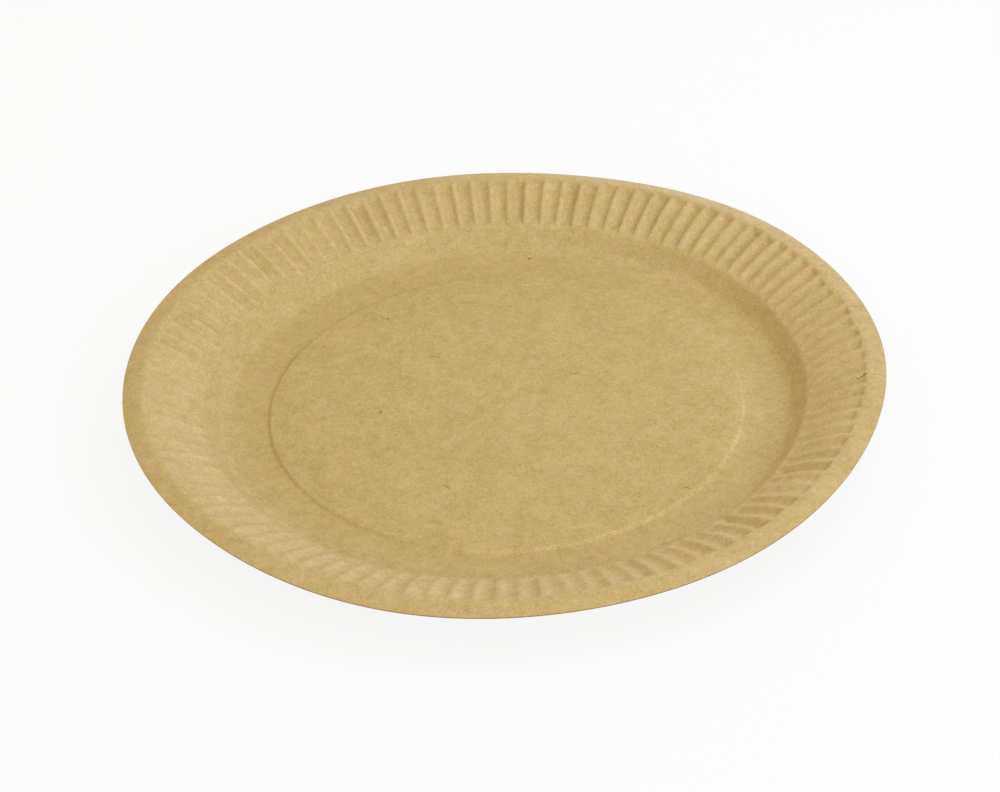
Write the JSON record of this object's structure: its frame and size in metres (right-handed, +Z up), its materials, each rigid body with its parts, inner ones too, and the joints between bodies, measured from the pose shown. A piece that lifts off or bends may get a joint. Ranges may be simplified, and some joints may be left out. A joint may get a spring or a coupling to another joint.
{
  "type": "paper plate",
  "caption": "Round disposable plate pressed from one sheet of brown kraft board, with a stepped flat middle, a steep smooth wall and a fluted rim that ends in a plain lip.",
  "frame": {"origin": "the middle of the plate at the height of the table that it stands on", "axes": "+Z up, out of the side that food goes on; +X and +Y lie in the table and pass through the middle of a groove"},
  "size_m": [0.23, 0.23, 0.0162],
  "materials": {
    "kraft_board": "matt unbleached brown paper board"
  },
  "bodies": {
    "root": {"plate": "kraft_board"}
  },
  "joints": []
}
